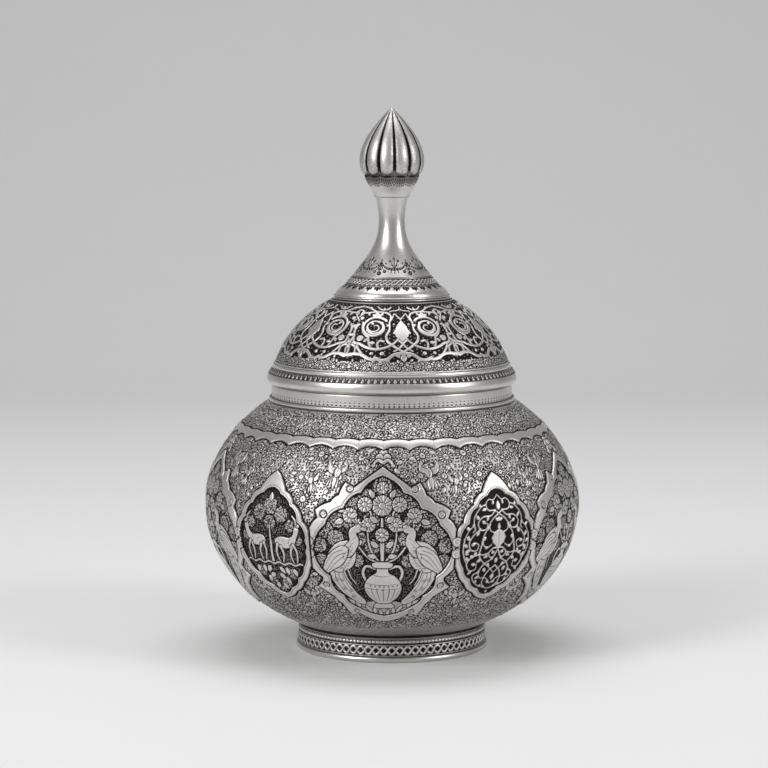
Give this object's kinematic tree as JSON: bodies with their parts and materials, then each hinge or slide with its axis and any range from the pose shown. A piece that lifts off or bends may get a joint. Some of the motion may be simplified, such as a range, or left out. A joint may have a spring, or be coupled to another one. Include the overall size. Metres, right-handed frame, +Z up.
{
  "type": "lidded sweet dish",
  "caption": "Round silver dish for sweets on a ring foot, with chased ornament and a lift-off domed lid carrying a tall bud finial.",
  "frame": {"origin": "on the table under the middle of the foot", "axes": "+Z up along the dish's axis to the finial, -Y towards the front of the dish, +X to the viewer's right"},
  "size_m": [0.1801, 0.1792, 0.2592],
  "materials": {
    "chased_silver": "chased silver, darkened in its recesses and rubbed bright on the relief",
    "ground_silver": "chased silver with flat bright strapwork on a blackened ground",
    "polished_silver": "polished silver with fine turning and wiping marks",
    "plain_silver": "plain satin silver",
    "brass": "plain turned brass"
  },
  "bodies": {
    "bowl": {"foot_wire": "polished_silver", "foot_ring": "chased_silver", "foot_bead": "polished_silver", "bowl_body": "chased_silver", "neck_bead": "polished_silver", "neck_collar": "polished_silver"},
    "lid": {"lid_bezel": "plain_silver", "lid_rim": "polished_silver", "lid_bead": "polished_silver", "lid_dome": "ground_silver", "finial_base_ring": "polished_silver", "finial_stem": "polished_silver", "finial_calyx": "polished_silver", "finial_bud": "polished_silver", "finial_rod": "brass", "finial_washer": "brass", "finial_nut": "brass"}
  },
  "joints": [
    {"name": "lid_lift", "type": "slide", "parent": "bowl", "child": "lid", "axis": [0, 0, 1], "range_m": [0, 0.15]}
  ]
}
